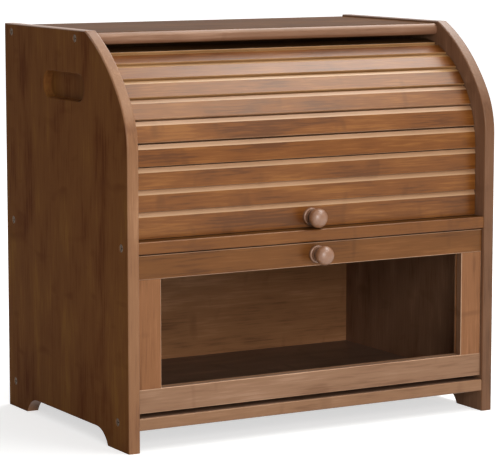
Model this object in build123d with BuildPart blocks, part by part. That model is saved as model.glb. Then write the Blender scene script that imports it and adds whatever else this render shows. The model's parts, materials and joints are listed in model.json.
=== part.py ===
from build123d import *
from math import asin, cos, degrees, hypot, radians, sin
import os

# A two-tier bread box of dark-stained bamboo boards.  The upper tier is closed by a roll-top
# of ten slats on a cloth backing, the lower tier by a glazed door that drops forward.
# Millimetres.  X to the right, Y to the back, Z up, and the box stands on z = 0.

# ---- cabinet: driving sizes -------------------------------------------------------------
width = 380.0                 # over the two side panels
depth = 250.0                 # side panel, front edge to back edge
height = 360.0                # side panel, floor to top edge
board = 11.0                  # thickness of every solid board
bottom_rise = 19.0            # floor to the underside of the bottom panel
upper_tier = 164.0            # clear height between the middle shelf and the top panel
top_drop = 2.0                # top panel below the side panels' top edge
top_setback = 80.5            # side panel's front edge to the top panel's front edge
shelf_setback = 5.0           # the same for the shelf and the bottom panel
edge_round = 1.5              # softened edges of the boards
top_nose = 5.0                # rounding of the top panel's front edge

shoulder_drop = 101.0         # top edge to where the straight front edge starts to curve
shoulder_radius = 75.0        # tight lower part of that curve
shoulder_turn = 33.0          # degrees turned by the tight part
foot_length = 41.0            # flat foot under each end of a side panel
arch_height = 14.0            # cut-out between the feet
arch_run = 22.0               # length of the curve from foot to cut-out

handle_length = 82.0          # finger recess on the outside of each side panel
handle_height = 24.0
handle_depth = 7.0
handle_centre_depth = 124.0   # from the front edge
handle_drop = 50.5            # from the top edge to the middle of the recess
handle_rim_round = 1.6
handle_floor_round = 2.0
recess_reach = 0.1            # how near a plane an edge lies to count as on it

back_thickness = 5.0          # thin back panels held in grooves
back_inset = 6.0              # lip of the boards behind the back panels
back_tongue = 4.0             # how far the back panels reach into their grooves
back_slack = 0.2              # play of a back panel in its groove

# ---- fasteners: driving sizes -----------------------------------------------------------
screw_head_radius = 3.5
screw_shank_radius = 2.0
screw_length = 34.0
screw_tip = 3.0
screw_rim = 0.4               # straight edge of a countersunk head
screw_sunk = 0.4              # head below the wood's surface
bore_slack = 0.1              # radial play round every screw shank and head
screw_back_edge = 15.0        # rear screws, from the boards' back edge
top_screw_edge = 20.0         # front screw of each board, from that board's front edge
shelf_screw_edge = 8.0
bottom_screw_edge = 17.0

# ---- roll-top: driving sizes ------------------------------------------------------------
slat_count = 10
straight_slats = 3            # slats below the curve when the roll-top is shut
slat_pitch = 19.2             # from slat to slat along the cloth
slat_thickness = 7.0
slat_gap = 0.3                # between neighbouring slats at the cloth
slat_bevel_height = 4.2       # bevel along the upper edge of each slat's face
slat_bevel_depth = 2.8
slat_arris = 0.3              # broken lower edge of each slat's face
slat_inset = 14.5             # side panel's front edge to the slats' face
slat_end_gap = 0.5            # slat end to side panel
roll_radius = 93.0            # hinge line of the cloth round the curve
roll_headroom = 2.0           # top panel to the slats' faces at the top of their curve
slat_floor_gap = 0.3          # lowest slat above the shelf
tongue_width = 12.0           # tongue on each end of the slats that stay on the curve
tongue_thickness = 3.2
tongue_back = 0.9             # from the slat's back to its tongue
tongue_end_gap = 0.4
track_depth = 4.0             # track groove in the side panels
track_slack = 0.35
track_tail = 10.0             # straight end of the track at the back
cloth_thickness = 0.5
cloth_margin = 14.0           # slat end to cloth edge
cloth_gap = 0.3               # between the cloth strips of the lower slats

# ---- door: driving sizes ----------------------------------------------------------------
door_setback = 3.4            # side panel's front edge to the door's face
door_side_gap = 0.5
door_top_gap = 1.0
door_floor_gap = 3.6          # lets the lower edge turn about its pins
door_rail_height = 21.0
door_stile_width = 22.0
door_edge_round = 0.8
pane_thickness = 2.0
pane_reveal = 7.3             # door's face to the pane
pane_seat = 5.0               # pane held in the frame's groove
pane_slack = 0.15
hinge_pin_radius = 2.5
hinge_pin_in_panel = 7.0
hinge_pin_in_rail = 11.0
hinge_end_gap = 0.5           # pin's end to the bottom of its bore in the rail
hinge_running_slack = 0.06
hinge_press_slack = 0.01
dowel_radius = 3.0
dowel_length = 22.0
dowel_slack = 0.05
dowel_end_gap = 0.5
dowel_bevel = 0.6

# ---- magnetic catch: driving sizes ------------------------------------------------------
catch_block_length = 18.0
catch_block_depth = 14.0
catch_block_height = 14.0
catch_side_offset = 26.0      # side panel's inner face to the middle of the catch
catch_gap = 0.3               # door's back to the block's face
magnet_radius = 4.0
magnet_length = 4.0
magnet_drop = 8.0             # magnet's axis below the shelf
strike_radius = 6.0
strike_thickness = 1.2
small_head_radius = 2.5
small_shank_radius = 1.2
small_screw_length = 8.0
block_screw_length = 21.0

# ---- knobs: driving sizes ---------------------------------------------------------------
knob_reach = 20.5             # off the surface that it is screwed to
knob_base_radius = 8.0
knob_base_land = 1.4
knob_disc = 2.6               # thickness of the base disc
knob_collar_radius = 6.3      # smaller ring in front of the base disc
knob_collar_end = 4.3
knob_neck_radius = 4.3
knob_neck_end = 6.8           # where the neck meets the ball
knob_ball_radius = 8.6
knob_ball_half = 6.8          # half thickness of the flattened ball
knob_cheek_turn = 30.0        # degrees from the axis at which the ball's flatter cap begins
knob_screw_depth = 10.0
pan_head_radius = 4.0
pan_head_height = 2.2

# ---- places worked out from those sizes -------------------------------------------------
front = -(depth - (knob_reach - door_setback)) / 2      # y of the side panels' front edge
back = front + depth
inner_half = width / 2 - board                          # x of a side panel's inner face
inner_width = 2 * inner_half
bottom_top = bottom_rise + board                        # upper face of the bottom panel
top_under = height - top_drop - board
shelf_top = top_under - upper_tier
shelf_under = shelf_top - board
shoulder_height = height - shoulder_drop
handle_centre_height = height - handle_drop
board_front = front + shelf_setback
brow = front + top_setback                              # y where curve and top edge meet

back_inner = back - back_inset - back_thickness         # y of the back panels' inner face

roll_y = front + slat_inset + slat_thickness + roll_radius
roll_z = top_under - roll_headroom - slat_thickness - roll_radius
lowest_slat = roll_z - shelf_top - slat_floor_gap - (straight_slats - 1) * slat_pitch
slat_lengths = [lowest_slat] + [slat_pitch] * (slat_count - 1)
half_step = degrees(asin(slat_pitch / 2 / roll_radius))  # half the turn from slat to slat
step = 2 * half_step
chord_radius = roll_radius * cos(radians(half_step))     # slat's back at its middle
track_inner = chord_radius + tongue_back - track_slack
track_outer = hypot(chord_radius + tongue_back + tongue_thickness, tongue_width / 2) + track_slack
cloth_half_width = inner_half - slat_end_gap - cloth_margin

door_face = front + door_setback
door_back = door_face + board
door_low = bottom_top + door_floor_gap
door_high = shelf_under - door_top_gap
door_half = inner_half - door_side_gap
door_mid_depth = door_face + board / 2
window_low = door_low + door_rail_height
window_high = door_high - door_rail_height
window_half = door_half - door_stile_width
pane_front = door_face + pane_reveal
hinge_height = door_low + board / 2
door_knob_height = door_high - door_rail_height / 2

slat_face = front + slat_inset
slat_back = slat_face + slat_thickness
roll_knob_height = shelf_top + slat_floor_gap + (lowest_slat - slat_bevel_height) / 2

catch_x = inner_half - catch_side_offset
catch_face = door_back + catch_gap
magnet_height = shelf_under - magnet_drop
LOW_CORNER = (Align.MIN, Align.MIN, Align.MIN)
UPRIGHT_BASE = (Align.CENTER, Align.CENTER, Align.MIN)

os.makedirs("parts", exist_ok=True)


def save(builder, name):
    """Label a finished piece and write it as its own file."""
    builder.part.label = name
    export_step(builder.part, f"parts/{name}.step")


# ---- screws -----------------------------------------------------------------------------
# A countersunk screw stands along +Z with its head at z = 0.  With slack and open_to it is
# the bore that the screw sits in, reaching open_to above the head.
def countersunk(head_radius, shank_radius, length, slack=0.0, open_to=0.0):
    cone_end = screw_rim + head_radius - shank_radius
    with BuildPart() as form:
        with BuildSketch(Plane.XZ):
            with BuildLine():
                Polyline(
                    (0, -open_to),
                    (head_radius + slack, -open_to),
                    (head_radius + slack, screw_rim),
                    (shank_radius + slack, cone_end),
                    (shank_radius + slack, length - screw_tip + slack),
                    (0, length + slack),
                    close=True,
                )
            make_face()
        revolve(axis=Axis.Z)
    return form.part


screw_rows = [
    (brow + top_screw_edge, top_under + board / 2),
    (back - screw_back_edge, top_under + board / 2),
    (board_front + shelf_screw_edge, shelf_under + board / 2),
    (back - screw_back_edge, shelf_under + board / 2),
    (board_front + bottom_screw_edge, bottom_rise + board / 2),
    (back - screw_back_edge, bottom_rise + board / 2),
]
screw_x = width / 2 - screw_sunk
left_screw_places = [Location((-screw_x, y, z), (0, 90, 0)) for y, z in screw_rows]
right_screw_places = [Location((screw_x, y, z), (0, -90, 0)) for y, z in screw_rows]
cabinet_screw = countersunk(screw_head_radius, screw_shank_radius, screw_length)
cabinet_screw_bore = countersunk(
    screw_head_radius, screw_shank_radius, screw_length, bore_slack, 2 * screw_sunk
)

with BuildPart() as cabinet_screws:
    with Locations(*left_screw_places, *right_screw_places):
        add(cabinet_screw)
save(cabinet_screws, "cabinet_screws")

# ---- side panels ------------------------------------------------------------------------
# Each panel is one board: straight front edge, a curve of two tangent arcs up to the brow,
# flat top edge, straight back edge, and an arched cut-out that leaves two feet.
turn = radians(shoulder_turn)
knuckle = (
    front + shoulder_radius * (1 - cos(turn)),
    shoulder_height + shoulder_radius * sin(turn),
)

with BuildPart() as left_side_panel:
    with BuildSketch(Plane.YZ.offset(-width / 2)):
        with BuildLine():
            Line((front, 0), (front, shoulder_height))
            TangentArc((front, shoulder_height), knuckle, tangent=(0, 1))
            TangentArc(knuckle, (brow, height), tangent=(sin(turn), cos(turn)))
            Polyline((brow, height), (back, height), (back, 0), (back - foot_length, 0))
            TangentArc(
                (back - foot_length - arch_run, arch_height), (back - foot_length, 0), tangent=(1, 0)
            )
            Line(
                (back - foot_length - arch_run, arch_height),
                (front + foot_length + arch_run, arch_height),
            )
            TangentArc(
                (front + foot_length + arch_run, arch_height), (front + foot_length, 0), tangent=(-1, 0)
            )
            Line((front + foot_length, 0), (front, 0))
        make_face()
    extrude(amount=board)
    rims = left_side_panel.edges().filter_by(Plane.YZ)
    fillet(rims.filter_by(lambda rim: rim.center().Z > arch_height + edge_round), edge_round)

    # finger recess, open to the outside only
    with BuildSketch(Plane.YZ.offset(-width / 2)):
        with Locations((front + handle_centre_depth, handle_centre_height)):
            SlotOverall(handle_length, handle_height)
    extrude(amount=handle_depth, mode=Mode.SUBTRACT)
    for rim_x, rim_round in ((handle_depth - width / 2, handle_floor_round),
                             (-width / 2, handle_rim_round)):
        recess_rim = left_side_panel.edges().filter_by_position(
            Axis.X, rim_x - recess_reach, rim_x + recess_reach
        ).filter_by(
            lambda rim: abs(rim.center().Z - handle_centre_height) < handle_height
            and abs(rim.center().Y - front - handle_centre_depth) < handle_length
        )
        fillet(recess_rim, rim_round)

    # track groove for the roll-top: up the front, round the curve and a little down the back
    with BuildSketch(Plane.YZ.offset(-inner_half)):
        with Locations((roll_y, roll_z)):
            Circle(track_outer)
            Circle(track_inner, mode=Mode.SUBTRACT)
            Rectangle(
                2 * track_outer, track_outer, align=(Align.CENTER, Align.MAX), mode=Mode.SUBTRACT
            )
        with Locations((roll_y - track_outer, shelf_top)):
            Rectangle(
                track_outer - track_inner, roll_z - shelf_top, align=(Align.MIN, Align.MIN)
            )
        with Locations((roll_y + track_outer, roll_z)):
            Rectangle(track_outer - track_inner, track_tail, align=(Align.MAX, Align.MAX))
    extrude(amount=-track_depth, mode=Mode.SUBTRACT)

    # groove for the two back panels
    with Locations((-inner_half - back_tongue, back_inner - back_slack, bottom_top - back_tongue)):
        Box(
            back_tongue,
            back_thickness + 2 * back_slack,
            top_under - bottom_top + 2 * back_tongue,
            align=LOW_CORNER,
            mode=Mode.SUBTRACT,
        )

    # screw holes and the blind hole for the door's hinge pin
    with Locations(*left_screw_places):
        add(cabinet_screw_bore, mode=Mode.SUBTRACT)
    with Locations(Location((-inner_half, door_mid_depth, hinge_height), (0, -90, 0))):
        Cylinder(
            hinge_pin_radius + hinge_press_slack,
            hinge_pin_in_panel,
            align=UPRIGHT_BASE,
            mode=Mode.SUBTRACT,
        )
save(left_side_panel, "left_side_panel")

with BuildPart() as right_side_panel:
    mirror(left_side_panel.part, about=Plane.YZ)
save(right_side_panel, "right_side_panel")


# ---- top, shelf and bottom --------------------------------------------------------------
# Boards between the side panels, each held by two screws at either end and grooved for the
# back panels above and below it.
def cross_board(front_edge, underside, nose, groove_above, groove_below):
    with BuildPart() as plank:
        with Locations((-inner_half, front_edge, underside)):
            Box(inner_width, back - front_edge, board, align=LOW_CORNER)
        fillet(plank.edges().filter_by(Axis.X).group_by(Axis.Y)[0], nose)
        grooves = []
        if groove_above:
            grooves.append(underside + board - back_tongue)
        if groove_below:
            grooves.append(underside)
        for groove_low in grooves:
            with Locations((-inner_half, back_inner - back_slack, groove_low)):
                Box(
                    inner_width,
                    back_thickness + 2 * back_slack,
                    back_tongue,
                    align=LOW_CORNER,
                    mode=Mode.SUBTRACT,
                )
        with Locations(*left_screw_places, *right_screw_places):
            add(cabinet_screw_bore, mode=Mode.SUBTRACT)
    return plank


save(cross_board(brow, top_under, top_nose, False, True), "top_panel")
save(cross_board(board_front, bottom_rise, edge_round, True, False), "bottom_panel")

block_screw_y = catch_face + magnet_length + (catch_block_depth - magnet_length) / 2
block_screw_low = shelf_under - catch_block_height
block_screw_places = [
    Location((side * catch_x, block_screw_y, block_screw_low)) for side in (-1, 1)
]
block_screw = countersunk(small_head_radius, small_shank_radius, block_screw_length)
block_screw_bore = countersunk(
    small_head_radius, small_shank_radius, block_screw_length, bore_slack, screw_sunk
)

with BuildPart() as middle_shelf:
    add(cross_board(board_front, shelf_under, edge_round, True, True).part)
    with Locations(*block_screw_places):
        add(block_screw_bore, mode=Mode.SUBTRACT)
save(middle_shelf, "middle_shelf")


# ---- back panels ------------------------------------------------------------------------
# Thin panels that stand in the grooves, one behind each tier.
def back_panel(floor_level, ceiling_level):
    low = floor_level - back_tongue
    high = ceiling_level + back_tongue - back_slack
    with BuildPart() as panel:
        with Locations((-inner_half - back_tongue + back_slack, back_inner, low)):
            Box(
                inner_width + 2 * (back_tongue - back_slack),
                back_thickness,
                high - low,
                align=LOW_CORNER,
            )
        # corners cut away where the shelf and end boards pass
        with Locations(*[(side * (inner_half + back_tongue), back_inner, z)
                         for side in (-1, 1) for z in (low, high)]):
            Box(
                2 * (back_tongue + back_slack),
                3 * back_thickness,
                2 * (back_tongue + back_slack),
                mode=Mode.SUBTRACT,
            )
    return panel


save(back_panel(bottom_top, shelf_under), "lower_back_panel")
save(back_panel(shelf_top, top_under), "upper_back_panel")


# ---- roll-top slats ---------------------------------------------------------------------
# Slat 1 is the lowest, a little taller than the rest.  Slats 1 to 3 stand straight when the
# roll-top is shut, the others lie as chords of the curve.  A slat's plane has x up along the
# slat and y out of its face.
def slat_plane(number):
    if number <= straight_slats:
        below = sum(slat_lengths[number - 1:straight_slats])
        return Plane((0, slat_back, roll_z - below), x_dir=(0, 0, 1), z_dir=(1, 0, 0))
    turned = (number - straight_slats - 1) * step
    start = radians(turned)
    lean = radians(turned + half_step)
    return Plane(
        (0, roll_y - roll_radius * cos(start), roll_z + roll_radius * sin(start)),
        x_dir=(0, sin(lean), cos(lean)),
        z_dir=(1, 0, 0),
    )


pan_screw_places = {
    "roll": Location((0, slat_back, roll_knob_height), (90, 0, 0)),
    "door": Location((0, door_back, door_knob_height), (90, 0, 0)),
}

for number in range(1, slat_count + 1):
    length = slat_lengths[number - 1]
    with BuildPart() as slat:
        with BuildSketch(slat_plane(number)):
            with BuildLine():
                Polyline(
                    (slat_gap / 2, 0),
                    (length - slat_gap / 2, 0),
                    (length - slat_gap / 2, slat_thickness - slat_bevel_depth),
                    (length - slat_gap / 2 - slat_bevel_height, slat_thickness),
                    (slat_gap / 2 + slat_arris, slat_thickness),
                    (slat_gap / 2, slat_thickness - slat_arris),
                    close=True,
                )
            make_face()
        extrude(amount=inner_half - slat_end_gap, both=True)
        if number > straight_slats:
            with BuildSketch(slat_plane(number)):
                with Locations((slat_pitch / 2, tongue_back)):
                    Rectangle(tongue_width, tongue_thickness, align=(Align.CENTER, Align.MIN))
            extrude(amount=inner_half + track_depth - tongue_end_gap, both=True)
        if number == 1:
            with Locations(pan_screw_places["roll"]):
                Cylinder(
                    screw_shank_radius + bore_slack,
                    2 * slat_thickness,
                    align=UPRIGHT_BASE,
                    mode=Mode.SUBTRACT,
                )
    save(slat, f"slat_{number:02d}")

# ---- cloth backing ----------------------------------------------------------------------
# One canvas sheet glued behind all the slats.  It is cut into the piece behind the slats on
# the curve and a strip behind each straight slat, so that each slat can turn.
curve_slats = slat_count - straight_slats

with BuildPart() as curtain_cloth:
    with BuildSketch(Plane.YZ):
        with BuildLine():
            rim_angles = [radians(n * step) for n in range(curve_slats + 1)]
            outer_rim = [
                (roll_y - roll_radius * cos(a), roll_z + roll_radius * sin(a)) for a in rim_angles
            ]
            inner_radius = roll_radius - cloth_thickness
            inner_rim = [
                (roll_y - inner_radius * cos(a), roll_z + inner_radius * sin(a)) for a in rim_angles
            ]
            Polyline(*outer_rim, *reversed(inner_rim), close=True)
        make_face()
    extrude(amount=cloth_half_width, both=True)
save(curtain_cloth, "curtain_cloth")

for number in range(1, straight_slats + 1):
    length = slat_lengths[number - 1]
    with BuildPart() as cloth_strip:
        with BuildSketch(slat_plane(number)):
            with Locations((length / 2, 0)):
                Rectangle(length - cloth_gap, cloth_thickness, align=(Align.CENTER, Align.MAX))
        extrude(amount=cloth_half_width, both=True)
        if number == 1:
            with Locations(pan_screw_places["roll"]):
                Cylinder(pan_head_radius + 2 * bore_slack, 3 * cloth_thickness, mode=Mode.SUBTRACT)
    save(cloth_strip, f"slat_{number:02d}_cloth")


# ---- knobs and their screws -------------------------------------------------------------
# Turned knob: a base disc, a hollow neck and a flattened ball, drilled for its screw.
def turned_knob(face, axis_height):
    tip = face - knob_reach
    ball_centre = tip + knob_ball_half
    disc_round = knob_disc - knob_base_land
    cheek = radians(knob_cheek_turn)
    cap_share = (1 - cos(cheek)) / sin(cheek)
    cheek_radius = (knob_ball_half - knob_ball_radius * cap_share) / (
        cos(cheek) - (1 - sin(cheek)) * cap_share
    )
    cheek_end = (
        ball_centre - cheek_radius * cos(cheek),
        axis_height + knob_ball_radius - cheek_radius * (1 - sin(cheek)),
    )
    with BuildPart() as knob:
        with BuildSketch(Plane.YZ):
            with BuildLine():
                Polyline(
                    (tip, axis_height),
                    (face, axis_height),
                    (face, axis_height + knob_base_radius),
                    (face - knob_base_land, axis_height + knob_base_radius),
                )
                TangentArc(
                    (face - knob_base_land, axis_height + knob_base_radius),
                    (face - knob_disc, axis_height + knob_base_radius - disc_round),
                    tangent=(-1, 0),
                )
                Polyline(
                    (face - knob_disc, axis_height + knob_base_radius - disc_round),
                    (face - knob_disc, axis_height + knob_collar_radius),
                    (face - knob_collar_end, axis_height + knob_collar_radius),
                    (face - knob_collar_end, axis_height + knob_neck_radius),
                    (face - knob_neck_end, axis_height + knob_neck_radius),
                )
                TangentArc(
                    (ball_centre, axis_height + knob_ball_radius),
                    (face - knob_neck_end, axis_height + knob_neck_radius),
                    tangent=(1, 0),
                )
                TangentArc(
                    (ball_centre, axis_height + knob_ball_radius), cheek_end, tangent=(-1, 0)
                )
                TangentArc(cheek_end, (tip, axis_height), tangent=(-sin(cheek), -cos(cheek)))
            make_face()
        revolve(axis=Axis((0, face, axis_height), (0, 1, 0)))
        with Locations(Location((0, face, axis_height), (90, 0, 0))):
            Cylinder(
                screw_shank_radius + bore_slack,
                knob_screw_depth + bore_slack,
                align=UPRIGHT_BASE,
                mode=Mode.SUBTRACT,
            )
    return knob


def pan_screw(wood_thickness, place):
    with BuildPart() as screw:
        with Locations(place):
            Cylinder(
                screw_shank_radius, wood_thickness + knob_screw_depth, align=UPRIGHT_BASE
            )
            Cylinder(
                pan_head_radius, pan_head_height, align=(Align.CENTER, Align.CENTER, Align.MAX)
            )
        chamfer(screw.edges().group_by(Axis.Y)[-1], pan_head_height / 3)
    return screw


save(turned_knob(slat_face, roll_knob_height), "roll_top_knob")
save(turned_knob(door_face, door_knob_height), "door_knob")
save(pan_screw(slat_thickness, pan_screw_places["roll"]), "roll_top_knob_screw")
save(pan_screw(board, pan_screw_places["door"]), "door_knob_screw")

# ---- door frame -------------------------------------------------------------------------
# Rails run the full width, stiles stand between them on dowels, and all four are grooved for
# the pane.  The bottom rail is bored for the hinge pins, the top rail for the knob and strikes.
catch_places = [
    Location((side * catch_x, door_back, magnet_height), (90, 0, 0)) for side in (-1, 1)
]
strike_screw = countersunk(small_head_radius, small_shank_radius, small_screw_length)
strike_screw_bore = countersunk(
    small_head_radius, small_shank_radius, small_screw_length, bore_slack, screw_sunk
)
pane_groove = pane_thickness + 2 * pane_slack
dowel_x = door_half - door_stile_width / 2
dowel_bore_length = dowel_length / 2 + dowel_end_gap


def door_rail(low, groove_low):
    with BuildPart() as rail:
        with Locations((-door_half, door_face, low)):
            Box(2 * door_half, board, door_rail_height, align=LOW_CORNER)
        fillet(rail.edges().filter_by(Axis.X).group_by(Axis.Y)[0], door_edge_round)
        with Locations((-window_half - pane_seat, pane_front - pane_slack, groove_low)):
            Box(
                2 * (window_half + pane_seat), pane_groove, pane_seat, align=LOW_CORNER,
                mode=Mode.SUBTRACT,
            )
        with Locations(*[(side * dowel_x, door_mid_depth, joint)
                         for side in (-1, 1) for joint in (window_low, window_high)]):
            Cylinder(dowel_radius + dowel_slack, 2 * dowel_bore_length, mode=Mode.SUBTRACT)
    return rail


def door_stile(side):
    low_x = side * (door_half - door_stile_width / 2) - door_stile_width / 2
    with BuildPart() as stile:
        with Locations((low_x, door_face, window_low)):
            Box(door_stile_width, board, window_high - window_low, align=LOW_CORNER)
        fillet(stile.edges().filter_by(Axis.Z).group_by(Axis.Y)[0], door_edge_round)
        with Locations((side * (window_half + pane_seat / 2), pane_front - pane_slack, window_low)):
            Box(
                pane_seat, pane_groove, window_high - window_low,
                align=(Align.CENTER, Align.MIN, Align.MIN), mode=Mode.SUBTRACT,
            )
        with Locations(*[(side * dowel_x, door_mid_depth, joint)
                         for joint in (window_low, window_high)]):
            Cylinder(dowel_radius + dowel_slack, 2 * dowel_bore_length, mode=Mode.SUBTRACT)
    return stile


with BuildPart() as door_top_rail:
    add(door_rail(window_high, window_high).part)
    with Locations(pan_screw_places["door"]):
        Cylinder(screw_shank_radius + bore_slack, 2 * board, align=UPRIGHT_BASE, mode=Mode.SUBTRACT)
    with Locations(*catch_places):
        Cylinder(
            strike_radius + bore_slack, strike_thickness, align=UPRIGHT_BASE, mode=Mode.SUBTRACT
        )
        add(strike_screw_bore, mode=Mode.SUBTRACT)
save(door_top_rail, "door_top_rail")

with BuildPart() as door_bottom_rail:
    add(door_rail(door_low, window_low - pane_seat).part)
    with Locations(Location((-door_half, door_mid_depth, hinge_height), (0, 90, 0)),
                   Location((door_half, door_mid_depth, hinge_height), (0, -90, 0))):
        Cylinder(
            hinge_pin_radius + hinge_running_slack,
            hinge_pin_in_rail + hinge_end_gap,
            align=UPRIGHT_BASE,
            mode=Mode.SUBTRACT,
        )
save(door_bottom_rail, "door_bottom_rail")

save(door_stile(-1), "door_left_stile")
save(door_stile(1), "door_right_stile")

with BuildPart() as door_dowels:
    with Locations(*[(side * dowel_x, door_mid_depth, joint)
                     for side in (-1, 1) for joint in (window_low, window_high)]):
        Cylinder(dowel_radius, dowel_length)
    chamfer(door_dowels.edges().filter_by(GeomType.CIRCLE), dowel_bevel)
save(door_dowels, "door_dowels")

with BuildPart() as window_pane:
    with Locations((0, pane_front + pane_thickness / 2, (window_low + window_high) / 2)):
        Box(
            2 * (window_half + pane_seat - pane_slack),
            pane_thickness,
            window_high - window_low + 2 * (pane_seat - pane_slack),
        )
save(window_pane, "window_pane")

# ---- hinge pins -------------------------------------------------------------------------
# Steel pins pressed into the side panels, on which the door's bottom rail turns.
hinge_pin_length = hinge_pin_in_panel + door_side_gap + hinge_pin_in_rail
pin_middle = inner_half + hinge_pin_in_panel - hinge_pin_length / 2

with BuildPart() as hinge_pins:
    with Locations(*[Location((side * pin_middle, door_mid_depth, hinge_height), (0, 90, 0))
                     for side in (-1, 1)]):
        Cylinder(hinge_pin_radius, hinge_pin_length)
save(hinge_pins, "hinge_pins")

# ---- magnetic catch ---------------------------------------------------------------------
# A block under the shelf near each side stops the door and holds a round magnet, which meets
# a steel disc let into the back of the door.
with BuildPart() as catch_blocks:
    with Locations(*[(side * catch_x, catch_face, shelf_under - catch_block_height)
                     for side in (-1, 1)]):
        Box(
            catch_block_length, catch_block_depth, catch_block_height,
            align=(Align.CENTER, Align.MIN, Align.MIN),
        )
    fillet(catch_blocks.edges().group_by(Axis.Z)[0], edge_round)
    with Locations(*[Location((side * catch_x, catch_face, magnet_height), (-90, 0, 0))
                     for side in (-1, 1)]):
        Cylinder(magnet_radius + bore_slack, magnet_length, align=UPRIGHT_BASE, mode=Mode.SUBTRACT)
    with Locations(*block_screw_places):
        add(block_screw_bore, mode=Mode.SUBTRACT)
save(catch_blocks, "catch_blocks")

with BuildPart() as catch_magnets:
    with Locations(*[Location((side * catch_x, catch_face, magnet_height), (-90, 0, 0))
                     for side in (-1, 1)]):
        Cylinder(magnet_radius, magnet_length, align=UPRIGHT_BASE)
save(catch_magnets, "catch_magnets")

with BuildPart() as catch_block_screws:
    with Locations(*block_screw_places):
        add(block_screw)
save(catch_block_screws, "catch_block_screws")

with BuildPart() as strike_plates:
    with Locations(*catch_places):
        Cylinder(strike_radius, strike_thickness, align=UPRIGHT_BASE)
        add(strike_screw_bore, mode=Mode.SUBTRACT)
save(strike_plates, "strike_plates")

with BuildPart() as strike_screws:
    with Locations(*catch_places):
        add(strike_screw)
save(strike_screws, "strike_screws")
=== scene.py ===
import json
from math import cos, pi, radians, sin

import bmesh
import bpy
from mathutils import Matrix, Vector

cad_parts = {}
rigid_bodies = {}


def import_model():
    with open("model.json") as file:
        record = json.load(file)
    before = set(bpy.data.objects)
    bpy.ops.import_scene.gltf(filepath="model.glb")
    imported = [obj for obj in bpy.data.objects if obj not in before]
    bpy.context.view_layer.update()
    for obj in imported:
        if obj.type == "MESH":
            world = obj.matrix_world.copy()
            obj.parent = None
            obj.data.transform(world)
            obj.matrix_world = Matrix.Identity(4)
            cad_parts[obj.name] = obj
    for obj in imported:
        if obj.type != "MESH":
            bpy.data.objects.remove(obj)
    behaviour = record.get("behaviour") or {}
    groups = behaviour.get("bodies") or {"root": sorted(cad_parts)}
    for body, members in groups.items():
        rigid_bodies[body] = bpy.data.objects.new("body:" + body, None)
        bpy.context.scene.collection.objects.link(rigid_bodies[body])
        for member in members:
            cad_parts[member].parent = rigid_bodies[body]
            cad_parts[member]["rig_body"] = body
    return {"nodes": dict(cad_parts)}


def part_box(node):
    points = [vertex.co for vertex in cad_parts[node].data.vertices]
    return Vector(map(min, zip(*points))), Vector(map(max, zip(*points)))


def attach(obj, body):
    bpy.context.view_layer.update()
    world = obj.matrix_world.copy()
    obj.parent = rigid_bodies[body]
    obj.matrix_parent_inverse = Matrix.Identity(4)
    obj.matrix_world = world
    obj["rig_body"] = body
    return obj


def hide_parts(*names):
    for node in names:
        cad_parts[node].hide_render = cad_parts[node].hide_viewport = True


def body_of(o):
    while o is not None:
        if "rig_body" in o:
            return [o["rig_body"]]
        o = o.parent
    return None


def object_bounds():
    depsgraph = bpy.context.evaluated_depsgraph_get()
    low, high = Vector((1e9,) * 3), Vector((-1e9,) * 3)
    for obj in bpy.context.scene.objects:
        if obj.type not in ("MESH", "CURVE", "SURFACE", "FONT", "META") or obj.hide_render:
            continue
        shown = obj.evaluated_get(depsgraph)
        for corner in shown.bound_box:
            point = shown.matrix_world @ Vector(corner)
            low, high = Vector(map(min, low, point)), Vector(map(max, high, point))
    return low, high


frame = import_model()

cad_box = [list(corner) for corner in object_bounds()]
MM = 0.001                                # the frame is in metres


# ---- side panels ------------------------------------------------------------------------
# Two boards of bamboo strips glued edge to edge, steamed brown and stained, with upright
# grain.  Each is sawn to the curve, moulded round its edges, has a finger recess routed into
# its outside, and is sealed with a thin satin lacquer.
def linear(code):
    """A hex sRGB colour as linear red, green, blue and alpha."""
    channels = [int(code[i:i + 2], 16) / 255 for i in (1, 3, 5)]
    return [c / 12.92 if c <= 0.04045 else ((c + 0.055) / 1.055) ** 2.4 for c in channels] + [1.0]


def add_node(tree, kind, sockets=None, **settings):
    """One shader node with its settings; each socket gets a value or another node's output."""
    made = tree.nodes.new(kind)
    for name, value in settings.items():
        setattr(made, name, value)
    for name, value in (sockets or {}).items():
        if isinstance(value, bpy.types.NodeSocket):
            tree.links.new(value, made.inputs[name])
        else:
            made.inputs[name].default_value = value
    return made


def new_material(name, look):
    """A material whose Principled surface is set from a dictionary of plain values."""
    made = bpy.data.materials.new(name)
    made.use_nodes = True
    surface = made.node_tree.nodes["Principled BSDF"]
    for socket, value in look.items():
        surface.inputs[socket].default_value = value
    return made, made.node_tree, surface


def dress(material, *names):
    """Gives the material to these CAD nodes."""
    for name in names:
        mesh = frame["nodes"][name].data
        mesh.materials.clear()
        mesh.materials.append(material)


def dress_faces(material, name, wanted):
    """Gives one more material to the faces of a CAD node that the wanted test picks."""
    mesh = frame["nodes"][name].data
    mesh.materials.append(material)
    for face in mesh.polygons:
        if wanted(face):
            face.material_index = len(mesh.materials) - 1


X_AXIS, Y_AXIS, Z_AXIS = 0, 1, 2

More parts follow.
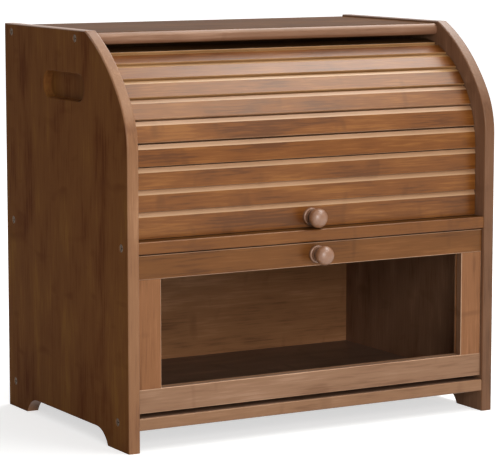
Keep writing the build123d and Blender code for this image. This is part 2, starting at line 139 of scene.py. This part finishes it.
FIBRE_WIDTH = 1.6 * MM        # real bundles are 0.5 mm wide, drawn coarser so that they show
FIBRE_STRETCH = 20            # length of a fibre streak over its width
FIBRE_RELIEF = 0.12 * MM      # how far the fibres stand up under the lacquer
BAND_WIDTH = 13 * MM          # soft darker and lighter bands where the stain took unevenly
BAND_STRETCH = 5
CLOUD_SIZE = 26 * MM          # broad patches of the stain
CLOUD_STRETCH = 2.8
FIBRE_SHARE, BAND_SHARE, CLOUD_SHARE, STRIP_SHARE = 0.6, 0.36, 0.62, 0.1
DARK_END, PALE_END = 0.26, 0.28       # where the outer two tones lie beside the middle one
KNUCKLE_LENGTH = 7 * MM       # a bamboo node, along the grain
KNUCKLE_WIDTH = 17 * MM
KNUCKLE_SPREAD = 0.42         # below 1 it makes the marks larger and lays them further apart
KNUCKLE_RANGE = (0.63, 0.76)  # only the peaks of the pattern darken to a mark
KNUCKLE_DEPTH = 0.5
ARRIS_HIGHLIGHT_RANGE = (0.45, 0.85)   # from where to where the painted highlight comes in at an arris
LACQUER_TINT = (1.0, 0.8, 0.62, 1.0)
LACQUER_ROUGHNESS = 0.26
FIBRE_ROUGHNESS = 0.16        # what the fibres add to it


def stained_bamboo(name, grain, tones, strip=None, arris_highlight=None, sheen=0.25, contrast=1.0):
    """Carbonised bamboo, stained and lacquered.  The eye sees fine straight fibres, soft bands
    about as wide as a finger, a few darker nodes across them, and a broad satin sheen."""
    material, tree, surface = new_material(name, {
        "Specular IOR Level": sheen, "Specular Tint": LACQUER_TINT,
    })
    place = add_node(tree, "ShaderNodeTexCoord").outputs["Object"]

    streaks = []
    for width, stretch, detail, roughness in (
        (FIBRE_WIDTH, FIBRE_STRETCH, 3.0, 0.62),
        (BAND_WIDTH, BAND_STRETCH, 3.0, 0.5),
        (CLOUD_SIZE, CLOUD_STRETCH, 2.0, 0.5),
    ):
        scale = [1 / width] * 3
        scale[grain] /= stretch
        pulled = add_node(tree, "ShaderNodeVectorMath", {0: place, 1: scale}, operation="MULTIPLY")
        streaks.append(add_node(tree, "ShaderNodeTexNoise", {
            "Vector": pulled.outputs[0], "Scale": 1.0, "Detail": detail, "Roughness": roughness,
        }).outputs["Fac"])
    parts = list(zip((FIBRE_SHARE, BAND_SHARE, CLOUD_SHARE), streaks))
    if strip:
        # each glued strip is a little darker or paler than the next
        across, width = strip
        axes = add_node(tree, "ShaderNodeSeparateXYZ", {0: place})
        counted = add_node(tree, "ShaderNodeMath", {0: axes.outputs[across], 1: 1 / width},
                           operation="MULTIPLY")
        index = add_node(tree, "ShaderNodeMath", {0: counted.outputs[0]}, operation="FLOOR")
        chance = add_node(tree, "ShaderNodeTexWhiteNoise", {"W": index.outputs[0]},
                          noise_dimensions="1D")
        parts.append((STRIP_SHARE, chance.outputs["Value"]))
    tone = 0.0
    for share, pattern in parts:
        tone = add_node(tree, "ShaderNodeMath", {0: pattern, 1: share, 2: tone},
                        operation="MULTIPLY_ADD").outputs[0]
    centred = add_node(tree, "ShaderNodeMath", {
        0: tone, 1: (sum(share for share, _ in parts) - 1) / 2,
    }, operation="SUBTRACT")
    ramp = add_node(tree, "ShaderNodeValToRGB", {"Fac": centred.outputs[0]})
    ramp.color_ramp.interpolation = "EASE"
    stops = ramp.color_ramp.elements
    stops[0].position = 0.5 - DARK_END / contrast
    stops[0].color = linear(tones[0])
    stops[1].position = 0.5 + PALE_END / contrast
    stops[1].color = linear(tones[2])
    stops.new(0.5).color = linear(tones[1])

    # nodes of the bamboo: short darker marks that lie across the fibres
    size = [1 / KNUCKLE_WIDTH] * 3
    size[grain] = 1 / KNUCKLE_LENGTH
    spread = add_node(tree, "ShaderNodeVectorMath", {0: place, 1: size}, operation="MULTIPLY")
    marks = add_node(tree, "ShaderNodeTexNoise", {
        "Vector": spread.outputs[0], "Scale": KNUCKLE_SPREAD, "Detail": 1.0, "Distortion": 0.3,
    })
    mark = add_node(tree, "ShaderNodeMapRange", {
        "Value": marks.outputs["Fac"], "From Min": KNUCKLE_RANGE[0],
        "From Max": KNUCKLE_RANGE[1], "To Max": KNUCKLE_DEPTH,
    })
    colour = add_node(tree, "ShaderNodeMix", {
        0: mark.outputs[0], 6: ramp.outputs["Color"], 7: linear(tones[0]),
    }, data_type="RGBA").outputs[2]

    if arris_highlight:
        # a painted highlight: the arris turns to a paler line, and the mesh says how near a point
        # is to it
        near = add_node(tree, "ShaderNodeAttribute", attribute_name="near_arris")
        highlight_share = add_node(tree, "ShaderNodeMapRange", {
            "Value": near.outputs["Fac"], "From Min": ARRIS_HIGHLIGHT_RANGE[0],
            "From Max": ARRIS_HIGHLIGHT_RANGE[1],
        })
        colour = add_node(tree, "ShaderNodeMix", {
            0: highlight_share.outputs[0], 6: colour, 7: linear(arris_highlight),
        }, data_type="RGBA").outputs[2]
    tree.links.new(colour, surface.inputs["Base Color"])

    fibre = streaks[0]
    gloss = add_node(tree, "ShaderNodeMath", {0: fibre, 1: FIBRE_ROUGHNESS, 2: LACQUER_ROUGHNESS},
                     operation="MULTIPLY_ADD")
    tree.links.new(gloss.outputs[0], surface.inputs["Roughness"])
    raised = add_node(tree, "ShaderNodeBump", {
        "Height": fibre, "Strength": 0.35, "Distance": FIBRE_RELIEF,
    })
    tree.links.new(raised.outputs[0], surface.inputs["Normal"])
    return material


STRIP = 19 * MM                                                     # width of a glued strip
RECESS = {Y_AXIS: (-0.036, 0.051), Z_AXIS: (0.292, 0.327)}          # reach of the finger recess
FLAT = 0.93                   # how far a normal points along its axis where a board is flat,
SQUARE = 0.97                 # and where a face looks squarely in or out


def moulded(across):
    """A test for the faces that don't lie flat on the board, apart from the finger recess."""
    def test(face):
        in_recess = all(low < face.center[axis] < high for axis, (low, high) in RECESS.items())
        return abs(face.normal[across]) < FLAT and not in_recess
    return test


dress(stained_bamboo("stained_bamboo_sides", Z_AXIS, ("#603315", "#774a26", "#865a2c"),
                     (Y_AXIS, STRIP), sheen=0.004, contrast=1.15),
      "left_side_panel", "right_side_panel")
# painted shade: the right panel's edge tones are a darker copy of the left's, for the light
# falling off to the right
for side, edge_tones in (
    ("left", ("#774e35", "#8e6344", "#a57857")),
    ("right", ("#5c3c28", "#714d36", "#866048")),
):
    dress_faces(stained_bamboo(f"moulded_bamboo_{side}", Z_AXIS, edge_tones, sheen=0.35),
                f"{side}_side_panel", moulded(X_AXIS))

# the inside face gets paler, greyer tones than the outside: painted extra light and a painted
# reflection of the pane laid over it
inside_bamboo_painted_light_and_shade = stained_bamboo("inside_bamboo_painted_light_and_shade", Z_AXIS,
                                    ("#684832", "#7e5b44", "#926d53"), sheen=0.02)
dress_faces(inside_bamboo_painted_light_and_shade, "right_side_panel", lambda face: face.normal.x < -SQUARE)

# ---- top, shelf and bottom --------------------------------------------------------------
# Three boards of the same bamboo, screwed between the side panels, with the strips running
# from side to side.  The top's front edge is rounded to a bullnose, the others' are softened.
dress(stained_bamboo("stained_bamboo_boards", X_AXIS, ("#4d2f15", "#5e3b1d", "#704a28"),
                     (Y_AXIS, STRIP), sheen=0.002),
      "top_panel", "middle_shelf", "bottom_panel")
# painted light: the bottom board's edge tones are paler and greyer than the others', for the pale
# floor's bounce and reflection
for name, edge_tones in (
    ("top_panel", ("#6f4c36", "#866049", "#9c765f")),
    ("middle_shelf", ("#5a3010", "#724218", "#885629")),
    ("bottom_panel", ("#7a553b", "#8f684b", "#a37b5e")),
):
    dress_faces(stained_bamboo(f"moulded_bamboo_{name}", X_AXIS, edge_tones, sheen=0.45),
                name, moulded(Z_AXIS))
# painted light: the floor inside gets paler, greyer tones, standing in for extra light and the
# pane's reflection
dress_faces(stained_bamboo("inside_floor_painted_light", X_AXIS, ("#5c4535", "#725746", "#876956"),
                           sheen=0.02),
            "bottom_panel", lambda face: face.normal.z > SQUARE)

# the shelf and the bottom panel reach almost to the side panels' front edges
FURTHER = 4 * MM              # past the CAD's front edge
EDGE_ROUND = 3 * MM           # the softened edge, which moves forward as it is
for name, title in (("middle_shelf", "shelf_board"), ("bottom_panel", "bottom_board")):
    plank = bpy.data.objects.new(title, frame["nodes"][name].data.copy())
    bpy.context.scene.collection.objects.link(plank)
    front_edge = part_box(name)[0][1]
    for vertex in plank.data.vertices:
        if vertex.co.y < front_edge + EDGE_ROUND:
            vertex.co.y -= FURTHER
    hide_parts(name)
    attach(plank, "cabinet")

# ---- back panels ------------------------------------------------------------------------
# Two thin sheets of bamboo ply slid into grooves, grain from side to side, stained but hardly
# lacquered, so they look duller than the boards.  The lower one's inside gets paler, greyer tones:
# painted extra light and a painted reflection of the pane laid over it.
dress(stained_bamboo("stained_bamboo_ply", X_AXIS, ("#5a3c24", "#76502f", "#8c6440"),
                     (Z_AXIS, 2 * STRIP)),
      "upper_back_panel", "lower_back_panel")
# painted light: the lower panel's inside gets paler, greyer tones for extra light and the pane's
# reflection
dress_faces(stained_bamboo("inside_ply_painted_light", X_AXIS, ("#7a5438", "#9a6b47", "#b27f58"),
                           (Z_AXIS, 2 * STRIP)),
            "lower_back_panel", lambda face: face.normal.y < -SQUARE)


# ---- cabinet screws ---------------------------------------------------------------------
# Countersunk steel screws with a cross recess, passivated to a dull brown, driven through the
# side panels into the boards until their heads lie just under the surface.
def plated_steel(name, pale, dark, roughness):
    """Plated steel.  The eye sees a dull metal whose coat varies a little in tone and gloss."""
    material, tree, surface = new_material(name, {"Metallic": 1.0, "Roughness": roughness})
    place = add_node(tree, "ShaderNodeTexCoord").outputs["Object"]
    cloud = add_node(tree, "ShaderNodeTexNoise", {
        "Vector": place, "Scale": 1 / (1.5 * MM), "Detail": 3.0,
    })
    colour = add_node(tree, "ShaderNodeMix", {
        0: cloud.outputs["Fac"], 6: linear(dark), 7: linear(pale),
    }, data_type="RGBA")
    tree.links.new(colour.outputs[2], surface.inputs["Base Color"])
    dull = add_node(tree, "ShaderNodeMapRange", {
        "Value": cloud.outputs["Fac"], "To Min": roughness - 0.08, "To Max": roughness + 0.12,
    })
    tree.links.new(dull.outputs[0], surface.inputs["Roughness"])
    return material


passivated_steel = plated_steel("passivated_steel", "#655140", "#3d2f23", 0.45)
dress(passivated_steel, "roll_top_knob_screw", "door_knob_screw", "catch_block_screws",
      "strike_screws")

# screws, in millimetres
HEAD_FACE = 189.6                                   # from the middle, 0.4 under the surface
HEAD_RADIUS, RIM, SHANK_RADIUS, CONE_END = 3.5, 0.4, 2.0, 1.9
SHANK_END, TIP = 31.0, 34.0
MOUTH_ARM, MOUTH_HALF = 2.2, 0.5                    # the cross recess at the head's face
PIT_ARM, PIT_HALF, PIT_DEPTH = 1.5, 0.32, 1.3       # and at its bottom
ROUND_STEPS = 24
SCREW_PLACES = (                                    # y and z, the same in both side panels
    (-15.95, 352.5), (118.55, 352.5),               # into the top
    (-103.45, 177.5), (118.55, 177.5),              # into the shelf
    (-94.45, 24.5), (118.55, 24.5),                 # into the bottom
)


def add_screw(made, side, depth, height):
    """One countersunk screw with a cross recess, driven in from that side along x."""
    def ring(points, sunk):
        return [made.verts.new(Vector((side * (HEAD_FACE - sunk), depth + a, height + b)) * MM)
                for a, b in points]

    def circle(radius):
        turn = radians(360 / ROUND_STEPS)
        return [(radius * cos(turn * step), radius * sin(turn * step))
                for step in range(ROUND_STEPS)]

    def cross(arm, half):
        points = [(arm, -half), (arm, half), (half, half)]
        for _ in range(3):
            points += [(-b, a) for a, b in points[-3:]]
        return points

    rings = [ring(circle(HEAD_RADIUS), 0), ring(circle(HEAD_RADIUS), RIM),
             ring(circle(SHANK_RADIUS), CONE_END), ring(circle(SHANK_RADIUS), SHANK_END)]
    mouth = ring(cross(MOUTH_ARM, MOUTH_HALF), 0)
    pit = ring(cross(PIT_ARM, PIT_HALF), PIT_DEPTH)
    for outer, inner in list(zip(rings, rings[1:])) + [(mouth, pit)]:
        for i in range(len(outer)):
            made.faces.new((outer[i - 1], outer[i], inner[i], inner[i - 1]))
    made.faces.new(pit)
    tip = ring([(0, 0)], TIP)[0]
    for i in range(ROUND_STEPS):
        made.faces.new((rings[-1][i - 1], rings[-1][i], tip))
    rims = [made.edges.get((loop[i - 1], loop[i])) for loop in (rings[0], mouth)
            for i in range(len(loop))]
    bmesh.ops.triangle_fill(made, use_beauty=True, edges=rims)


screws = bmesh.new()
for side in (-1, 1):
    for depth, height in SCREW_PLACES:
        add_screw(screws, side, depth, height)
bmesh.ops.recalc_face_normals(screws, faces=screws.faces)
screw_mesh = bpy.data.meshes.new("crossed_screws")
screws.to_mesh(screw_mesh)
screws.free()
screw_mesh.materials.append(passivated_steel)
crossed_screws = bpy.data.objects.new("crossed_screws", screw_mesh)
bpy.context.scene.collection.objects.link(crossed_screws)
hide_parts("cabinet_screws")
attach(crossed_screws, "cabinet")

# ---- roll-top slats ---------------------------------------------------------------------
# Ten bamboo slats with a shallow bevel planed along their upper edge; the bevel and the ends are
# painted paler as the light they catch, and the arris paler still as a painted highlight.
# Those on the curve carry a tongue at each end that runs in the side panels' track.
SLATS = [f"slat_{number:02d}" for number in range(1, 11)]
UPPER_SLATS = SLATS[6:]       # these lie back on the curve, and their bevels catch more light
slat_bamboo = stained_bamboo("stained_bamboo_slats", X_AXIS, ("#5a2f0d", "#754216", "#8b5625"),
                             sheen=0.52, contrast=1.5)
# painted shade: the last slat is near black for the dark gap under the top's front edge
painted_gap_shade = stained_bamboo("painted_gap_shade_bamboo", X_AXIS, ("#2c190b", "#3a2310", "#472e1a"))
# painted light: the bevels and the slats' ends get paler tones for the light and sheen they catch,
# and on the upper slats paler still
slat_edges_painted_light = stained_bamboo("slat_edges_painted_light", X_AXIS, ("#8a6244", "#9e7554", "#ad8363"),
                               arris_highlight="#b38c69", sheen=0.45)
upper_slat_edges_painted_light = stained_bamboo("upper_slat_edges_painted_light", X_AXIS,
                                    ("#8b633e", "#9f754b", "#ae8459"),
                                    arris_highlight="#be9260", sheen=0.45)
BEVEL_FILL = 1.2 * MM         # the real bevel is this much shallower than the CAD's
NEAR = 0.1 * MM               # how close a corner lies to the bevel's inner edge
TURNED = 0.1                  # a face tilted more than this isn't the slat's own face
for name in SLATS:
    slat = bpy.data.objects.new(f"{name}_bevelled", frame["nodes"][name].data.copy())
    bpy.context.scene.collection.objects.link(slat)
    mesh = slat.data
    mesh.materials.clear()
    # the last slat takes the painted shade of the gap under the top
    mesh.materials.append(painted_gap_shade if name == SLATS[-1] else slat_bamboo)
    mesh.materials.append(upper_slat_edges_painted_light if name in UPPER_SLATS else slat_edges_painted_light)

    # the largest face that looks forward is the slat's own; uphill lies along it
    lengthwise = [face for face in mesh.polygons if abs(face.normal.x) < 0.01]
    front = max((face for face in lengthwise if face.normal.y < 0), key=lambda face: face.area)
    outward = front.normal.copy()
    uphill = Vector((0, -outward.z, outward.y))
    if uphill.z < 0:
        uphill.negate()
    bevel = []
    for face in lengthwise:
        turned = uphill.dot(face.normal)
        if turned > TURNED and outward.dot(face.normal) > 0.5:
            bevel.append(face)
        if abs(turned) > TURNED:
            face.material_index = 1

    # the bevel's lower edge is its arris
    corners = {index for face in bevel for index in face.vertices}
    heights = [mesh.vertices[index].co.dot(uphill) for index in corners]
    low, high = min(heights), max(heights)
    near_arris = mesh.attributes.new("near_arris", "FLOAT", "CORNER")
    for face in bevel:
        for loop in face.loop_indices:
            height = mesh.vertices[mesh.loops[loop].vertex_index].co.dot(uphill)
            near_arris.data[loop].value = 1 - (height - low) / (high - low)

    # its upper edge comes forward
    depth = min(mesh.vertices[index].co.dot(outward) for index in corners)
    for vertex in mesh.vertices:
        if vertex.co.dot(uphill) > high - NEAR and vertex.co.dot(outward) > depth - NEAR:
            vertex.co += BEVEL_FILL * outward
    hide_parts(name)
    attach(slat, body_of(frame["nodes"][name])[0])


# ---- canvas backing ---------------------------------------------------------------------
# Plain woven cotton canvas, dyed brown and glued behind the slats, which hinges them.
# A strip of its own backs each of the three lowest slats.
def cotton_canvas(name, pale, dark):
    """Cotton canvas.  The eye sees matt threads that cross, with dark pits between them."""
    material, tree, surface = new_material(name, {"Roughness": 0.9, "Specular IOR Level": 0.2})
    place = add_node(tree, "ShaderNodeTexCoord").outputs["Object"]
    thread = 1.2 * MM         # real threads lie 0.5 mm apart, drawn coarser so that they show
    warp, weft = [add_node(tree, "ShaderNodeTexWave", {
        "Vector": place, "Scale": 1 / thread / 3, "Distortion": 0.4, "Detail": 1.0,
    }, wave_type="BANDS", bands_direction=direction).outputs["Fac"] for direction in "XZ"]
    crossing = add_node(tree, "ShaderNodeMath", {0: warp, 1: weft}, operation="MULTIPLY")
    colour = add_node(tree, "ShaderNodeMix", {
        0: crossing.outputs[0], 6: linear(dark), 7: linear(pale),
    }, data_type="RGBA")
    tree.links.new(colour.outputs[2], surface.inputs["Base Color"])
    raised = add_node(tree, "ShaderNodeBump", {
        "Height": crossing.outputs[0], "Strength": 0.5, "Distance": 0.2 * MM,
    })
    tree.links.new(raised.outputs[0], surface.inputs["Normal"])
    return material


dress(cotton_canvas("cotton_canvas", "#6b523b", "#3c2c1f"),
      "curtain_cloth", "slat_01_cloth", "slat_02_cloth", "slat_03_cloth")


# ---- knobs ------------------------------------------------------------------------------
# Two knobs turned from close-grained wood with their base disc, stained a little pinker than
# the bamboo, rubbed to a soft polish and screwed on from behind.
def turned_wood(name, pale, dark, grain_width):
    """Turned close-grained wood.  The eye sees faint streaks, painted shade that darkens the
    hollows, and a soft polished sheen."""
    material, tree, surface = new_material(name, {"IOR": 1.5, "Specular IOR Level": 0.9})
    place = add_node(tree, "ShaderNodeTexCoord").outputs["Object"]
    stretched = add_node(tree, "ShaderNodeVectorMath", {
        0: place, 1: (1 / grain_width, 0.12 / grain_width, 1 / grain_width),
    }, operation="MULTIPLY")
    grain = add_node(tree, "ShaderNodeTexNoise", {
        "Vector": stretched.outputs[0], "Scale": 1.0, "Detail": 3.0, "Distortion": 0.6,
    })
    colour = add_node(tree, "ShaderNodeMix", {
        0: grain.outputs["Fac"], 6: linear(dark), 7: linear(pale),
    }, data_type="RGBA")
    # painted shade: the colour darkens where the surface is closed in, in the neck and the creases
    open_share = add_node(tree, "ShaderNodeAmbientOcclusion", {"Distance": 5 * MM}, samples=8)
    hollow_shade = add_node(tree, "ShaderNodeMapRange", {
        "Value": open_share.outputs["AO"], "From Min": 0.35, "From Max": 0.85, "To Min": 0.25,
    })
    shaded_hollows = add_node(tree, "ShaderNodeMix", {
        0: 1.0, 6: colour.outputs[2], 7: hollow_shade.outputs[0],
    }, data_type="RGBA", blend_type="MULTIPLY")
    tree.links.new(shaded_hollows.outputs[2], surface.inputs["Base Color"])
    gloss = add_node(tree, "ShaderNodeMapRange", {
        "Value": grain.outputs["Fac"], "To Min": 0.36, "To Max": 0.42,
    })
    tree.links.new(gloss.outputs[0], surface.inputs["Roughness"])
    return material


dress(turned_wood("stained_turned_wood", "#9a6d4c", "#7a5036", 1.6 * MM),
      "roll_top_knob", "door_knob")

# ---- door frame -------------------------------------------------------------------------
# Two rails and two stiles of bamboo, dowelled together, each with its grain along its length.
# Their arrises are painted paler as a highlight, and the right stile's inner edge by the window
# takes the inside's darker, greyer tones as painted shade.
SLANTED = (-0.95, -0.2)       # y of the normals that look forward at a slant
arris_highlight_bamboo = stained_bamboo("arris_highlight_bamboo", X_AXIS, ("#b0866a", "#c2997b", "#d1a98a"),
                              sheen=0.45)
# painted light and shade: the top rail's tones are darker for the shade under the shelf, and the
# bottom rail's paler and greyer for the pale floor's reflection
for name, grain, tones in (
    ("door_top_rail", X_AXIS, ("#563012", "#6e421c", "#83532b")),
    ("door_bottom_rail", X_AXIS, ("#7b573f", "#926d53", "#a47f65")),
    ("door_left_stile", Z_AXIS, ("#704527", "#8a5a38", "#a06e4b")),
    ("door_right_stile", Z_AXIS, ("#704527", "#8a5a38", "#a06e4b")),
):
    dress(stained_bamboo(f"stained_bamboo_{name}", grain, tones, sheen=0.35, contrast=1.05), name)
    dress_faces(arris_highlight_bamboo, name, lambda face: SLANTED[0] < face.normal.y < SLANTED[1])
# painted shade: the right stile's inner face by the window takes the inside's darker, greyer tones
dress_faces(inside_bamboo_painted_light_and_shade, "door_right_stile", lambda face: face.normal.x < -SQUARE)

# ---- dowels and catch blocks ------------------------------------------------------------
# Plain beech, turned to pegs that hold the door's corners, and sawn to two blocks that are
# screwed under the shelf.  Both are left unstained.
dress(turned_wood("plain_beech", "#c9a274", "#a67d52", 1.1 * MM), "door_dowels", "catch_blocks")

# ---- window pane ------------------------------------------------------------------------
# A clear acrylic sheet, polished flat and held in the frame's groove.  The eye looks straight
# through it, and lamps and daylight pass into the cabinet.
pane, pane_tree, pane_surface = new_material("clear_acrylic", {
    "Base Color": linear("#fbfdfc"), "Roughness": 0.0, "IOR": 1.49, "Transmission Weight": 1.0,
    "Specular Tint": (0.02, 0.02, 0.02, 1.0),
})
ray_kind = add_node(pane_tree, "ShaderNodeLightPath").outputs
scattered = add_node(pane_tree, "ShaderNodeMath", {
    0: ray_kind["Is Shadow Ray"], 1: ray_kind["Is Diffuse Ray"],
}, operation="MAXIMUM")
passes = add_node(pane_tree, "ShaderNodeMath", {
    0: ray_kind["Is Camera Ray"], 1: scattered.outputs[0],
}, operation="MAXIMUM")
clear = add_node(pane_tree, "ShaderNodeBsdfTransparent")
through = add_node(pane_tree, "ShaderNodeMixShader", {
    0: passes.outputs[0], 1: pane_surface.outputs[0], 2: clear.outputs[0],
})
pane_tree.links.new(through.outputs[0], pane_tree.nodes["Material Output"].inputs["Surface"])
dress(pane, "window_pane")

# ---- hinge pins and catch ---------------------------------------------------------------
# Plain steel pins on which the door turns, and round nickel-plated magnets in the blocks under
# the shelf that hold two plated discs on the door's back.
dress(plated_steel("bright_steel", "#c4c4c2", "#9c9b98", 0.3), "hinge_pins")
dress(plated_steel("nickel_plate", "#a9a59c", "#86827a", 0.3), "catch_magnets", "strike_plates")


# ---- studio -----------------------------------------------------------------------------
# A white sweep lit by one soft light in front on the left and a long one overhead on the right.
# The white surroundings show in the lacquer and through the pane.
def soft_light(name, place, aim, width, height, level):
    """A rectangular area light; level is about the share of a white that it gives a surface
    that faces it at its aim."""
    data = bpy.data.lights.new(name, "AREA")
    data.shape = "RECTANGLE"
    data.size = width
    data.size_y = height
    lamp = bpy.data.objects.new(name, data)
    lamp.location = place
    ray = Vector(aim) - Vector(place)
    lamp.rotation_euler = ray.to_track_quat("-Z", "Y").to_euler()
    data.energy = level * pi * pi * ray.length ** 2
    bpy.context.scene.collection.objects.link(lamp)


cad_low, cad_high = (Vector(corner) for corner in cad_box)
middle = (cad_low + cad_high) / 2
soft_light("front_softbox", place=(-0.5, -1.7, 0.62), aim=middle,
           width=0.7, height=0.7, level=0.42)
soft_light("overhead_softbox", place=(0.78, -0.12, 1.5), aim=middle + Vector((0, 0, 0.1)),
           width=3.2, height=0.6, level=1.6)

FLOOR_REACH = 30.0
floor_mesh = bpy.data.meshes.new("floor")
floor_mesh.from_pydata([(x * FLOOR_REACH, y * FLOOR_REACH, 0)
                        for x, y in ((-1, -1), (1, -1), (1, 1), (-1, 1))], [], [(0, 1, 2, 3)])
floor = bpy.data.objects.new("floor", floor_mesh)
bpy.context.scene.collection.objects.link(floor)
paper, paper_tree, paper_surface = new_material("white_paper", {
    "Base Color": linear("#e0e0de"), "Roughness": 0.9, "Specular IOR Level": 0.1,
})
floor_mesh.materials.append(paper)


def seen_share(tree):
    """1 for the rays that show the background: straight to the camera, mirrored or through."""
    ray = add_node(tree, "ShaderNodeLightPath").outputs
    shiny = add_node(tree, "ShaderNodeMath", {
        0: ray["Is Glossy Ray"], 1: ray["Is Transmission Ray"],
    }, operation="MAXIMUM")
    return add_node(tree, "ShaderNodeMath", {0: ray["Is Camera Ray"], 1: shiny.outputs[0]},
                    operation="MAXIMUM").outputs[0]


# the paper brightens to plain white away from the object, and near it keeps the shadow
NEAR_GLOW, SHADOW_REACH, WHITE_FROM = 0.62, 0.2, 1.2
paper_place = add_node(paper_tree, "ShaderNodeTexCoord").outputs["Object"]
away = add_node(paper_tree, "ShaderNodeVectorMath", {0: paper_place}, operation="LENGTH")
glow_level = add_node(paper_tree, "ShaderNodeMapRange", {
    "Value": away.outputs["Value"], "From Min": SHADOW_REACH, "From Max": WHITE_FROM,
    "To Min": NEAR_GLOW, "To Max": 1.0,
})
glow = add_node(paper_tree, "ShaderNodeEmission", {"Strength": glow_level.outputs[0]})
lift = add_node(paper_tree, "ShaderNodeAddShader", {
    0: paper_surface.outputs[0], 1: glow.outputs[0],
})
choice = add_node(paper_tree, "ShaderNodeMixShader", {
    0: seen_share(paper_tree), 1: paper_surface.outputs[0], 2: lift.outputs[0],
})
paper_tree.links.new(choice.outputs[0], paper_tree.nodes["Material Output"].inputs["Surface"])

# the world is plain white where it is seen, and gives the object a fifth of that as fill
world = bpy.data.worlds.new("studio")
world.use_nodes = True
bpy.context.scene.world = world
sky = world.node_tree
strength = add_node(sky, "ShaderNodeMapRange", {
    "Value": seen_share(sky), "To Min": 0.2, "To Max": 1.0,
})
backdrop = sky.nodes["Background"]
backdrop.inputs["Color"].default_value = linear("#ffffff")
sky.links.new(strength.outputs[0], backdrop.inputs["Strength"])

# the camera stands in front on the left, a little above the box, and looks slightly down
LOOKS_DOWN, LOOKS_RIGHT = 7.646, 29.79              # degrees
camera_data = bpy.data.cameras.new("camera")
camera_data.lens = 174.64
camera_data.clip_end = 100
camera = bpy.data.objects.new("camera", camera_data)
camera.location = (-1.10803, -1.92619, 0.46438)
camera.rotation_euler = (radians(90 - LOOKS_DOWN), 0, radians(-LOOKS_RIGHT))
bpy.context.scene.collection.objects.link(camera)
bpy.context.scene.camera = camera

bpy.context.scene.view_settings.view_transform = "Standard"
